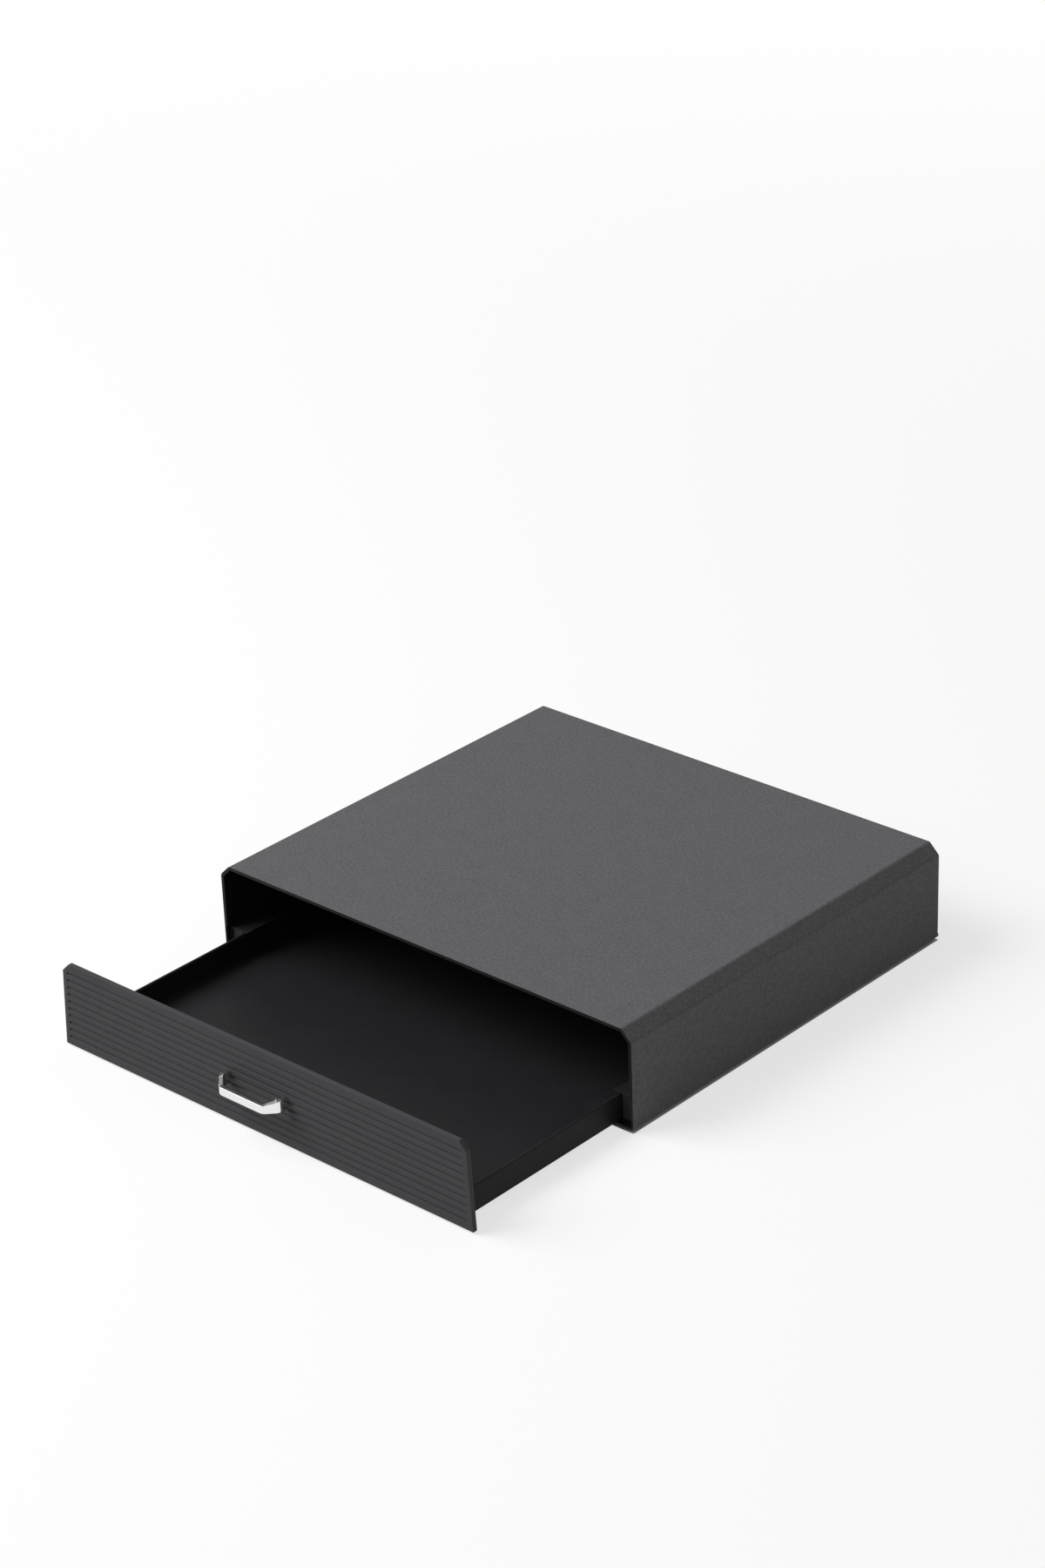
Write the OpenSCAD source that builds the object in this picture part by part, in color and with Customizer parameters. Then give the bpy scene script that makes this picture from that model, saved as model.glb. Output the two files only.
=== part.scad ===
// Coffee pod drawer: a low steel housing that stands under a coffee machine, with one sliding tray
// for single-serve pods. +Z is up and +Y goes to the back. The origin is on the floor, below the
// middle of the whole object as it stands with its drawer part open. Sizes are in millimetres.

/* [Housing] */
// Width of the housing
house_w = 340; // [300:5:420]
// Depth of the housing
house_d = 300; // [240:5:380]
// Height of the housing, without its feet
house_h = 66.5; // [58:0.5:90]
// Width and height of the sloping bend along both top edges
top_chamfer = 7.5; // [5:0.5:10]
// Thickness of the housing's steel sheet
sheet_t = 1.2; // [0.8:0.1:1.6]
// Bend radius of the housing, to the middle of the sheet
bend_r = 1.6; // [1.2:0.1:2.2]
// Width of the flanges turned in along the bottom
flange_w = 22; // [18:1:28]
// Width of the lip turned in round the back
back_lip_w = 11; // [9:0.5:14]
// Thickness of the back panel
back_t = 1; // [0.8:0.1:1.4]
// Width of the hem folded under along the housing's front edge
hem_w = 7; // [5:0.5:10]

/* [Feet and bumpers] */
// Height of the rubber feet
foot_h = 2; // [1.6:0.1:4]
// Diameter of the rubber feet
foot_d = 12; // [8:1:16]
// Distance from the housing's front and back edges to the middle of a foot
foot_inset = 31; // [24:1:50]
// Length of the rubber bumpers that the closed drawer stops against
bumper_len = 6.5; // [4:0.5:12]
// Diameter of the rubber bumpers
bumper_d = 9; // [7:0.5:12]
// Distance between the two bumpers
bumper_spread = 150; // [80:5:220]

/* [Drawer tray] */
// How far the drawer stands out of the housing at rest
drawer_out = 134; // [0:1:160]
// Space for the runners, between the housing's inside and the tray
runner_space = 10.8; // [9:0.2:14]
// Height of the tray's side walls and back wall
tray_wall_h = 17.5; // [12:0.5:22]
// Height of the wall that the front panel is screwed to
tray_front_h = 38; // [37:1:46]
// Thickness of the tray's steel sheet
tray_t = 1; // [0.8:0.1:1.4]
// Bend radius of the tray, to the middle of the sheet
tray_bend_r = 1.4; // [1.1:0.1:2]

/* [Front panel] */
// Thickness of the front panel, ribs included
panel_t = 3.2; // [2.6:0.1:5]
// Height left free above the panel, below the housing's top
panel_top_gap = 9.5; // [3:0.5:12]
// How far the panel reaches below the housing
panel_drop = 0.5; // [0:0.1:1]
// Distance from the housing's side to the panel's end
panel_side_inset = 0.5; // [0:0.1:2]
// How far each of the panel's ends leans in from its bottom to its top
panel_lean = 3; // [0:0.5:5]
// Size of the panel's cut top corners
panel_corner = 5.5; // [3:0.5:9]
// Distance from one groove to the next
groove_pitch = 5; // [4:0.5:8]
// Height of the lowest groove above the panel's bottom edge
groove_first = 6; // [4:0.5:8]
// Width of a groove at the panel's face
groove_w = 2; // [1:0.2:3]
// Depth of a groove
groove_depth = 0.8; // [0.4:0.1:1]
// Plain border left at both ends of the grooves
groove_border = 3.5; // [2:0.5:8]

/* [Handle] */
// Width of the handle at the panel
handle_w = 50.5; // [42:0.5:80]
// Width of the handle's grip, between the middles of its bends
grip_w = 34.5; // [28:0.5:70]
// How far the handle stands out from the panel
handle_reach = 14.5; // [12:0.5:28]
// How far the legs go straight out before they slope in to the grip
leg_straight = 6.3; // [3:0.1:10]
// Height of the grip
grip_h = 5.5; // [4.5:0.5:8]
// Height of the handle's legs
leg_h = 8; // [6:0.5:12]
// Height of the handle's underside above the panel's bottom edge
handle_rise = 26.5; // [20:0.5:29]
// Thickness of the handle's strap
strap_t = 3; // [1.8:0.1:3.2]
// Bend radius of the strap's folded tabs, to its middle
strap_r = 2.6; // [2:0.1:3.4]
// Bend radius of the handle's corners, to the strap's middle
corner_r = 4; // [3:0.2:6]
// Length of the tabs folded flat behind the tray's front wall
tab_len = 11; // [8:0.5:14]

/* [Runners] */
// Thickness of the runner's steel sheet
rail_t = 1; // [0.8:0.1:1.2]
// Width of the runner's foot
rail_foot_w = 8; // [7.4:0.1:8.6]
// How far the keeper leg reaches in over the tray's wall
keeper_reach = 4; // [2:0.5:8]
// Length of the plastic guides and glides
glide_len = 20; // [12:1:30]
// Distance from the tray's back to its glides
glide_back = 8; // [4:1:20]
// Distance from the housing's front to the runners
rail_inset = 3; // [1:0.5:10]

/* [Hidden] */

// Clearances
slide_gap = 0.3;       // tray floor over the flanges it slides on
keeper_gap = 0.8;      // keeper leg over the top of the tray's wall
guide_gap = 0.4;       // guides and glides beside the piece that passes them
rail_gap = 0.6;        // runner beside the housing's side
front_gap = 0.9;       // closed panel in front of the housing's edge
closed_gap = 0.4;      // closed tray in front of its bumpers
stop_gap = 0.4;        // glide in front of its guide when the drawer is fully out
slot_gap = 0.3;        // round the handle's legs in their slots
panel_gap = 0.5;       // round the back panel
hem_gap = 1.5;         // end of the front hem above the runners
guide_top_gap = 0.3;   // front guide below the keeper leg
glide_clear = 1;       // glide over the rivets' tails, and below the tray's top
boss_gap = 0.1;        // panel's boss short of the screw head it meets
screw_room = 1;        // hole beyond the tip of a screw
hole_gap = 0.15;       // round a rivet or screw, on the radius
thread_gap = 0.05;     // round a screw in the plastic it bites into

// Fasteners
rivet_r = 1.6;
rivet_head_r = 3.2;
rivet_head_h = 1;
rivet_tail_r = 2.4;
rivet_tail_h = 1.3;
rivet_spread = 110;    // outer rivets of the back panel's top row, from the middle
rivet_low = 15;        // lowest rivet of the back panel, above the housing's underside
rivet_high = 21;       // the rivet above it, below the housing's top
rail_rivet_inset = 45; // first and last rivet of a runner, from the housing's edges
screw_r = 1.45;
screw_head_r = 3;
screw_head_h = 1.3;
panel_screw_len = 2.6;
guide_screw_len = 7;
glide_screw_len = 6;
glide_screw_inset = 5; // screws in from both ends of a glide
screw_inner = 55;      // innermost front screws, from the middle
screw_middle = 100;    // the next ones
screw_outer = 18;      // outermost ones, in from the tray's side
screw_high = 27;       // inner and outer front screws, above the housing's underside
screw_low = 9;         // the ones between them
panel_boss_r = 3;
bumper_stem_r = 2.5;
bumper_flange_r = 4;
bumper_flange_h = 1;
foot_edge = 0.5;       // bevel round the underside of a foot

// Colours
coat = "#4a4a4c";
coat_dark = "#3a3a3c";
ribbed = "#434345";
polished = "#d8dadc";
rubber = "#1e1e20";
slippery = "#2c2c2e";
zinc = "#a9acae";

// Worked-out sizes of the housing
in_w = house_w - 2 * sheet_t;
foot_x = house_w / 2 - flange_w / 2;
mitre = sheet_t / 2 * tan(22.5);
back_in_y = house_d - sheet_t - back_t;

// Worked-out sizes of the tray, from its underside up
tray_w = in_w - 2 * runner_space;
tray_z = sheet_t + slide_gap;
tray_top = tray_z + tray_wall_h;
tray_len = back_in_y - bumper_len - closed_gap + front_gap;
tray_y = panel_t;
tray_back_y = tray_y + tray_len;

// Worked-out sizes of the front panel, in the drawer's own depth, which starts at the panel's face
panel_w = house_w - 2 * panel_side_inset;
panel_z = -panel_drop;
panel_h = house_h - panel_top_gap + panel_drop;
panel_out = front_gap + panel_t + drawer_out;
groove_count = floor((panel_h - groove_first - groove_w) / groove_pitch) + 1;
boss_h = tray_t - boss_gap;

// Worked-out sizes of the handle
foot_half = handle_w / 2 - strap_t / 2;
grip_half = grip_w / 2;
handle_low = panel_z + handle_rise;
handle_top = handle_low + leg_h;
tab_y = tray_y + tray_t + strap_t / 2;

// Worked-out sizes of the runners, for the right-hand side
web_x = house_w / 2 - sheet_t - rail_gap - rail_t / 2;
web_in_x = web_x - rail_t / 2;
rail_foot_x = web_x + rail_t / 2 - rail_foot_w;
rail_foot_top = sheet_t + rail_t;
keeper_z = tray_top + keeper_gap + rail_t / 2;
keeper_x = tray_w / 2 - tray_t - keeper_reach;
rail_end_gap = 2;
guide_inset = 1;
rail_len = back_in_y - rail_end_gap - rail_inset;
rail_rivet_x = (rail_foot_x + web_in_x) / 2;
guide_y = rail_inset + guide_inset;
guide_x = tray_w / 2 + guide_gap;
guide_top = keeper_z - rail_t / 2 - guide_top_gap;
glide_z = rail_foot_top + rivet_tail_h + glide_clear;
glide_top = tray_top - glide_clear;
hem_z = keeper_z + rail_t / 2 + hem_gap;
glide_y = tray_back_y - glide_back - glide_len;
corner_cut = 1.2;

// Where the whole object stands: the origin is below its middle in the rest pose
house_front = (panel_out + handle_reach - house_d - rivet_head_h) / 2;

// Total travel of the drawer, from closed to its stop
travel = tray_len - front_gap - glide_back - 2 * glide_len - guide_y - stop_gap;
echo(tray_width = tray_w, tray_length = tray_len, closed_at = -drawer_out, open_at = travel - drawer_out);

// Places of the fasteners: [across, up] on the tray's front wall, [across, up] on the back lip,
// and the distance from the housing's front along a runner
front_screws = [
    for (side = [-1, 1])
        each [
            [side * screw_inner, screw_high], [side * screw_middle, screw_low],
            [side * (tray_w / 2 - screw_outer), screw_high]
        ]
];
back_rivets = concat(
    [for (across = [-1, 0, 1]) [across * rivet_spread, house_h - back_lip_w / 2]],
    [
        for (side = [-1, 1], up = [rivet_low, house_h - rivet_high])
            [side * (house_w / 2 - back_lip_w / 2), up]
    ]
);
rail_rivet_ys = [rail_inset + rail_rivet_inset, house_d / 2, house_d - rail_rivet_inset];
glide_screw_ys = [glide_y + glide_screw_inset, glide_y + glide_len - glide_screw_inset];
guide_screw_y = guide_y + glide_len / 2;

// ---- Bent sheet, drawn as a path along the middle of the sheet ----

function unit(v) = v / norm(v);

// The arc that rounds the corner at b, between a and c
function bend(a, b, c, r, steps) =
    let (
        u = unit(a - b),
        v = unit(c - b),
        half = acos(u * v) / 2,
        middle = b + unit(u + v) * r / sin(half),
        from = b + u * r / tan(half) - middle,
        turn = (180 - 2 * half) * sign(cross(from, b + v * r / tan(half) - middle))
    )
    [
        for (i = [0 : steps])
            let (t = turn * i / steps)
            middle + [from.x * cos(t) - from.y * sin(t), from.x * sin(t) + from.y * cos(t)]
    ];

// A path with every inner corner rounded
function bent(path, r, steps = 5) = [
    path[0],
    for (i = [1 : len(path) - 2]) each bend(path[i - 1], path[i], path[i + 1], r, steps),
    path[len(path) - 1]
];

// The sideways step from point i of a path to the sheet's surface, for a sheet 1 thick
function side_step(path, i) =
    let (
        before = i == 0 ? path[1] - path[0] : path[i] - path[i - 1],
        after = i == len(path) - 1 ? before : path[i + 1] - path[i],
        n1 = unit([-before.y, before.x]),
        n2 = unit([-after.y, after.x]),
        n = unit(n1 + n2)
    )
    n / (n * n1) / 2;

// The closed outline of a sheet of thickness t along a path
function sheet_outline(path, t) = concat(
    [for (i = [0 : len(path) - 1]) path[i] + side_step(path, i) * t],
    [for (i = [len(path) - 1 : -1 : 0]) path[i] - side_step(path, i) * t]
);

// A sheet bent in the XZ plane, running back along Y from y for a length
module bent_sheet(path, t, y, length) {
    translate([0, y + length, 0])
        rotate([90, 0, 0])
            linear_extrude(length)
                polygon(sheet_outline(path, t));
}

// A plate drawn in the XZ plane, running back along Y from y for a thickness
module upright(y, thickness) {
    translate([0, y + thickness, 0])
        rotate([90, 0, 0])
            linear_extrude(thickness)
                children();
}

// A round bar along Y from y for a length
module bar_y(x, y, z, r, length) {
    translate([x, y, z])
        rotate([-90, 0, 0])
            cylinder(r = r, h = length, $fn = 40);
}

// A round bar along Z
module bar_z(x, y, z, r, length) {
    translate([x, y, z])
        cylinder(r = r, h = length, $fn = 40);
}

// A round bar along X, growing outwards on the given side
module bar_x(side, x, y, z, r, length) {
    translate([side * x, y, z])
        rotate([0, side * 90, 0])
            cylinder(r = r, h = length, $fn = 40);
}

// The right-hand piece, or its mirror image on the left
module on_side(side) {
    if (side > 0) children();
    else mirror([1, 0, 0]) children();
}

// The housing's own frame: depth from its front edge, height from its underside
module housing_frame() {
    translate([0, house_front, foot_h]) children();
}

// The drawer's own frame: depth from the panel's face
module drawer_frame() {
    translate([0, house_front - panel_out, foot_h]) children();
}

// ---- Housing ----

// The housing's outside, drawn in by an inset all round and open downwards
module house_outline(inset, bottom) {
    side = house_w / 2 - inset;
    top = house_h - inset;
    cut = top_chamfer - inset * (2 - sqrt(2));
    polygon([
        [-side, bottom], [side, bottom], [side, top - cut], [side - cut, top],
        [-side + cut, top], [-side, top - cut]
    ]);
}

module housing() {
    edge = house_w / 2 - sheet_t / 2;
    low = sheet_t / 2;
    high = house_h - sheet_t / 2;
    slope_z = house_h - top_chamfer - mitre;
    slope_x = house_w / 2 - top_chamfer - mitre;
    tip = house_w / 2 - flange_w;
    right = [[slope_x, high], [edge, slope_z], [edge, low], [tip, low]];
    left = [for (i = [3 : -1 : 0]) [-right[i].x, right[i].y]];
    color(coat)
    housing_frame()
    difference() {
        union() {
            bent_sheet(bent(concat(left, right), bend_r), sheet_t, 0, house_d);
            upright(house_d - sheet_t, sheet_t) difference() {
                house_outline(sheet_t / 2, bend_r);
                house_outline(back_lip_w, -1);
            }
            upright(0, hem_w) difference() {
                house_outline(sheet_t / 2, hem_z);
                house_outline(2 * sheet_t, hem_z - 1);
            }
        }
        for (p = back_rivets)
            bar_y(p.x, house_d - 2 * sheet_t, p.y, rivet_r + hole_gap, 3 * sheet_t);
        for (side = [-1, 1]) {
            for (y = rail_rivet_ys)
                bar_z(side * rail_rivet_x, y, -sheet_t, rivet_r + hole_gap, 3 * sheet_t);
            bar_z(side * rail_rivet_x, guide_screw_y, -sheet_t, screw_r + hole_gap, 3 * sheet_t);
        }
    }
}

module back_panel() {
    color(coat_dark)
    housing_frame()
    difference() {
        upright(back_in_y, back_t)
            house_outline(sheet_t + panel_gap, sheet_t + panel_gap);
        for (p = back_rivets)
            bar_y(p.x, back_in_y - 1, p.y, rivet_r + hole_gap, back_t + 2);
        for (side = [-1, 1])
            bar_y(side * bumper_spread / 2, back_in_y - 1, tray_z + tray_wall_h / 2,
                bumper_stem_r + thread_gap, back_t + 2);
    }
}

// A blind rivet with its head at z = 0 and its set tail beyond the stack it holds
module rivet(stack) {
    translate([0, 0, -rivet_head_h]) cylinder(r = rivet_head_r, h = rivet_head_h, $fn = 40);
    cylinder(r = rivet_r, h = stack + rivet_tail_h, $fn = 40);
    translate([0, 0, stack]) cylinder(r = rivet_tail_r, h = rivet_tail_h, $fn = 40);
}

module back_panel_rivets() {
    color(coat_dark)
    housing_frame()
    for (p = back_rivets)
        translate([p.x, house_d, p.y]) rotate([90, 0, 0]) rivet(sheet_t + back_t);
}

module rail_rivets() {
    color(coat_dark)
    housing_frame()
    for (side = [-1, 1], y = rail_rivet_ys)
        translate([side * rail_rivet_x, y, 0]) rivet(sheet_t + rail_t);
}

// ---- Runners ----

// A steel channel beside the tray: its foot is riveted to the flange, and its top leg keeps the
// tray from tipping when the drawer is out
module guide_rail(side) {
    foot_z = sheet_t + rail_t / 2;
    path = [[rail_foot_x, foot_z], [web_x, foot_z], [web_x, keeper_z], [keeper_x, keeper_z]];
    color(coat_dark)
    housing_frame()
    on_side(side)
    difference() {
        bent_sheet(bent(path, tray_bend_r), rail_t, rail_inset, rail_len);
        for (y = rail_rivet_ys)
            bar_z(rail_rivet_x, y, 0, rivet_r + hole_gap, 2 * rail_foot_top);
        bar_z(rail_rivet_x, guide_screw_y, 0, screw_r + hole_gap, 2 * rail_foot_top);
    }
}

// The cross-section of a plastic block with its corners cut
module block_section(x0, x1, z0, z1) {
    polygon([
        [x0 + corner_cut, z0], [x1 - corner_cut, z0], [x1, z0 + corner_cut], [x1, z1 - corner_cut],
        [x1 - corner_cut, z1], [x0 + corner_cut, z1], [x0, z1 - corner_cut], [x0, z0 + corner_cut]
    ]);
}

// The plastic guide at the front of a runner, which centres the tray and stops its glide
module front_guide(side) {
    color(slippery)
    housing_frame()
    on_side(side)
    difference() {
        upright(guide_y, glide_len)
            block_section(guide_x, web_in_x, rail_foot_top, guide_top);
        bar_z(rail_rivet_x, guide_screw_y, rail_foot_top - 1, screw_r + thread_gap,
            guide_screw_len + screw_room + 1);
    }
}

module guide_screws() {
    color(zinc)
    housing_frame()
    for (side = [-1, 1]) {
        bar_z(side * rail_rivet_x, guide_screw_y, -screw_head_h, screw_head_r, screw_head_h);
        bar_z(side * rail_rivet_x, guide_screw_y, -screw_head_h / 2, screw_r,
            screw_head_h / 2 + rail_foot_top + guide_screw_len);
    }
}

// ---- Feet and bumpers ----

module foot(side, y) {
    color(rubber)
    translate([side * foot_x, house_front + y, 0]) {
        cylinder(r1 = foot_d / 2 - foot_edge, r2 = foot_d / 2, h = foot_edge, $fn = 48);
        translate([0, 0, foot_edge]) cylinder(r = foot_d / 2, h = foot_h - foot_edge, $fn = 48);
    }
}

// A bumper pushed through the back panel, with its small flange outside
module rear_bumper(side) {
    z = tray_z + tray_wall_h / 2;
    x = side * bumper_spread / 2;
    color(rubber)
    housing_frame() {
        bar_y(x, back_in_y - bumper_len, z, bumper_d / 2, bumper_len);
        bar_y(x, back_in_y - 1, z, bumper_stem_r, back_t + 1.5);
        bar_y(x, back_in_y + back_t, z, bumper_flange_r, bumper_flange_h);
    }
}

// ---- Drawer ----

// A slot for one leg of the handle, from y for a depth, widened inwards where the tab is folded
module leg_slot(y, depth, widening) {
    half = strap_t / 2 + slot_gap;
    for (side = [-1, 1])
        on_side(side)
            translate([foot_half - half - widening, y, handle_low - slot_gap])
                cube([2 * half + widening, depth, leg_h + 2 * slot_gap]);
}

// The tray: floor and side walls bent from one sheet, with its front and back walls turned up
module drawer_tray() {
    edge = tray_w / 2 - tray_t / 2;
    floor_z = tray_z + tray_t / 2;
    path = [[-edge, tray_top], [-edge, floor_z], [edge, floor_z], [edge, tray_top]];
    inner = tray_w - 2 * tray_bend_r - tray_t;
    color(coat_dark)
    drawer_frame()
    difference() {
        union() {
            bent_sheet(bent(path, tray_bend_r), tray_t, tray_y, tray_len);
            translate([-inner / 2, tray_y, tray_z]) cube([inner, tray_t, tray_front_h]);
            translate([-inner / 2, tray_back_y - tray_t, tray_z]) cube([inner, tray_t, tray_wall_h]);
        }
        leg_slot(tray_y - 1, tray_t + 2, strap_r - strap_t / 2);
        for (p = front_screws)
            bar_y(p.x, tray_y - 1, p.y, panel_boss_r + hole_gap, tray_t + 2);
        for (side = [-1, 1], y = glide_screw_ys)
            bar_x(side, tray_w / 2 - 2 * tray_t, y, (glide_z + glide_top) / 2,
                screw_r + hole_gap, 3 * tray_t);
    }
}

// One groove's section, across the panel's face
module groove_section() {
    polygon([
        [-groove_w / 2, -1], [groove_w / 2, -1], [groove_w / 2, 0],
        [groove_w / 4, groove_depth], [-groove_w / 4, groove_depth], [-groove_w / 2, 0]
    ]);
}

// Half the panel's width at a height above its bottom edge
function half_panel(up) = panel_w / 2 - panel_lean * up / panel_h;

// The moulded front: grooves leave it ribbed, and round bosses behind it take the screws
module drawer_front() {
    low = half_panel(0);
    high = half_panel(panel_h - panel_corner);
    top = panel_z + panel_h;
    color(ribbed)
    drawer_frame()
    difference() {
        union() {
            upright(0, panel_t) polygon([
                [-low, panel_z], [low, panel_z], [high, top - panel_corner],
                [high - panel_corner, top], [-high + panel_corner, top], [-high, top - panel_corner]
            ]);
            for (p = front_screws)
                bar_y(p.x, panel_t - 0.5, p.y, panel_boss_r, boss_h + 0.5);
        }
        for (i = [0 : groove_count - 1]) {
            up = groove_first + i * groove_pitch;
            reach = half_panel(up) - groove_border;
            translate([-reach, 0, panel_z + up])
                rotate([90, 0, 90])
                    linear_extrude(2 * reach)
                        rotate([0, 0, -90]) groove_section();
        }
        leg_slot(-1, panel_t + 2, 0);
        for (p = front_screws)
            bar_y(p.x, panel_t + boss_h - panel_screw_len - 0.2, p.y, screw_r + thread_gap,
                panel_screw_len + 1);
    }
}

module drawer_front_screws() {
    seat = tray_y + tray_t;
    color(zinc)
    drawer_frame()
    for (p = front_screws) {
        bar_y(p.x, seat, p.y, screw_head_r + 1, screw_head_h);
        bar_y(p.x, panel_t + boss_h - panel_screw_len, p.y, screw_r,
            panel_screw_len + tray_t - boss_h + screw_head_h / 2);
    }
}

// The plastic glide on the tray's rear corner, which runs inside the runner
module rear_glide(side) {
    mid_z = (glide_z + glide_top) / 2;
    color(slippery)
    drawer_frame()
    on_side(side)
    difference() {
        upright(glide_y, glide_len)
            block_section(tray_w / 2, web_in_x - guide_gap, glide_z, glide_top);
        for (y = glide_screw_ys)
            bar_x(1, tray_w / 2 - 1, y, mid_z, screw_r + thread_gap,
                glide_screw_len + screw_room + 1);
    }
}

module glide_screws() {
    wall_in = tray_w / 2 - tray_t;
    mid_z = (glide_z + glide_top) / 2;
    color(zinc)
    drawer_frame()
    for (side = [-1, 1], y = glide_screw_ys) {
        bar_x(side, wall_in - screw_head_h, y, mid_z, screw_head_r, screw_head_h);
        bar_x(side, wall_in - screw_head_h / 2, y, mid_z, screw_r,
            screw_head_h / 2 + tray_t + glide_screw_len);
    }
}

// The handle: a polished strap whose legs pass through the panel and the tray's front wall, and
// whose ends are folded flat behind that wall. Outside, the legs go straight out and then slope in
// to the grip, and their top edge drops along the slope
module handle() {
    tip = [foot_half - tab_len, tab_y];
    fold = [foot_half, tab_y];
    root = [foot_half, -leg_straight];
    corner = [grip_half, strap_t / 2 - handle_reach];
    half = concat(
        [tip], bend(tip, fold, root, strap_r, 5), bend(fold, root, corner, corner_r, 5),
        bend(root, corner, [-corner.x, corner.y], corner_r, 5)
    );
    other = [for (i = [len(half) - 1 : -1 : 0]) [-half[i].x, half[i].y]];
    color(polished)
    drawer_frame()
    intersection() {
        translate([0, 0, handle_low])
            linear_extrude(leg_h)
                polygon(sheet_outline(concat(half, other), strap_t));
        translate([-handle_w, 0, 0])
            rotate([90, 0, 90])
                linear_extrude(2 * handle_w)
                    polygon([
                        [-handle_reach - 1, handle_low], [tab_y + strap_t, handle_low],
                        [tab_y + strap_t, handle_top], [-leg_straight, handle_top],
                        [strap_t - handle_reach, handle_low + grip_h],
                        [-handle_reach - 1, handle_low + grip_h]
                    ]);
    }
}

housing();
back_panel();
back_panel_rivets();
guide_rail(-1);  // guide_rail_left
guide_rail(1);  // guide_rail_right
rail_rivets();
front_guide(-1);  // front_guide_left
front_guide(1);  // front_guide_right
guide_screws();
foot(-1, foot_inset);  // foot_front_left
foot(1, foot_inset);  // foot_front_right
foot(-1, house_d - foot_inset);  // foot_back_left
foot(1, house_d - foot_inset);  // foot_back_right
rear_bumper(-1);  // rear_bumper_left
rear_bumper(1);  // rear_bumper_right
drawer_tray();
drawer_front();
drawer_front_screws();
rear_glide(-1);  // rear_glide_left
rear_glide(1);  // rear_glide_right
glide_screws();
handle();
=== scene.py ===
# %% [markdown]
# # A coffee pod drawer
#
# The object is a low steel housing for a kitchen worktop, with one drawer behind a ribbed front.
# The working model, with its real sizes and its sliding joint, is loaded as a fixed frame. Its
# solids have the right shapes, but their edges are razor sharp and their surfaces plain. A real
# edge is always a little round and catches the light. So this script builds each piece again, on
# the measures of its solid: the bent sheets, the moulded front, the handle and the small parts.

# %% Load the frame
import math

import bmesh
import bpy
from mathutils import Matrix, Vector


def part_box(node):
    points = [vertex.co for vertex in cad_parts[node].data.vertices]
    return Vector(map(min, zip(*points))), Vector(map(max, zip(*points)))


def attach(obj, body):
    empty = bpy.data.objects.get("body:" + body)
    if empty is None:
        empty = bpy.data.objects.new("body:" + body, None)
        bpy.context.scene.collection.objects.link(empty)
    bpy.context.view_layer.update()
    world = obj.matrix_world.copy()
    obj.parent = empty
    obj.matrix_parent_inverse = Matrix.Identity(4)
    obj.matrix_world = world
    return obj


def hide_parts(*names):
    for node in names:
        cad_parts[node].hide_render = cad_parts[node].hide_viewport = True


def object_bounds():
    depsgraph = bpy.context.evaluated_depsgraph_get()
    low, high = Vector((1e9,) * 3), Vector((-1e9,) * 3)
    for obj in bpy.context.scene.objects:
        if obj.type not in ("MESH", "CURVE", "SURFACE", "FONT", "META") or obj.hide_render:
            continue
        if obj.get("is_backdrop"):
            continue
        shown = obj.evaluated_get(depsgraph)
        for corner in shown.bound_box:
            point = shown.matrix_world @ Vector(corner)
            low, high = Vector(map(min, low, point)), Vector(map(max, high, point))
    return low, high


MM = 0.001
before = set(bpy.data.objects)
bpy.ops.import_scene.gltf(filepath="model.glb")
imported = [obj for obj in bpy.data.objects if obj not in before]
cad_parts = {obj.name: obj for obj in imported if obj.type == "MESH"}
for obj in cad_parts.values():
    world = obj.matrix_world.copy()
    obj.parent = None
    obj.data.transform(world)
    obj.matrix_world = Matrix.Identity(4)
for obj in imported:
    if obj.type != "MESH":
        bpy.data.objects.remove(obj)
cad_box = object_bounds()
print("the frame's box, in mm:", [round(c / MM, 1) for corner in cad_box for c in corner])

# %% [markdown]
# ## The camera
#
# The view is the photograph's: about 43 degrees round to the right and 26 degrees above the
# worktop, from more than two metres away with a long lens, so that the sides hardly converge. A
# camera can be aimed at a point, but this one is also rolled by two degrees. Turned first about the
# upright axis, then tipped, then rolled, it needs only three angles and a place.

# %% Camera
CAMERA_PLACE = Vector((1.43752, -1.52926, 1.19285))
CAMERA_AZIMUTH = math.radians(42.756)
CAMERA_ELEVATION = math.radians(26.493)
CAMERA_ROLL = math.radians(-2.151)
PHOTO_HEIGHT = 1800
FOCAL_PIXELS = 4431.1
SENSOR_MM = 36
NEAREST = 0.05
FURTHEST = 50

lens = bpy.data.cameras.new("camera")
lens.sensor_width = SENSOR_MM
lens.lens = FOCAL_PIXELS / PHOTO_HEIGHT * SENSOR_MM
lens.clip_start = NEAREST
lens.clip_end = FURTHEST
camera = bpy.data.objects.new("camera", lens)
turn = Matrix.Rotation(CAMERA_AZIMUTH, 4, "Z")
tip = Matrix.Rotation(math.pi / 2 - CAMERA_ELEVATION, 4, "X")
roll = Matrix.Rotation(CAMERA_ROLL, 4, "Z")
camera.matrix_world = Matrix.Translation(CAMERA_PLACE) @ turn @ tip @ roll
bpy.context.scene.collection.objects.link(camera)
bpy.context.scene.camera = camera
print("lens", round(lens.lens, 1), "mm")

# %% [markdown]
# ## Shader maths as Python
#
# A finish is a small network of nodes. Wired by hand, each sum takes several lines, and the formula
# behind it is lost. Here a wire from one node can be added to, multiplied and subtracted in plain
# Python, and each operator adds the Math node that does it.

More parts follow.
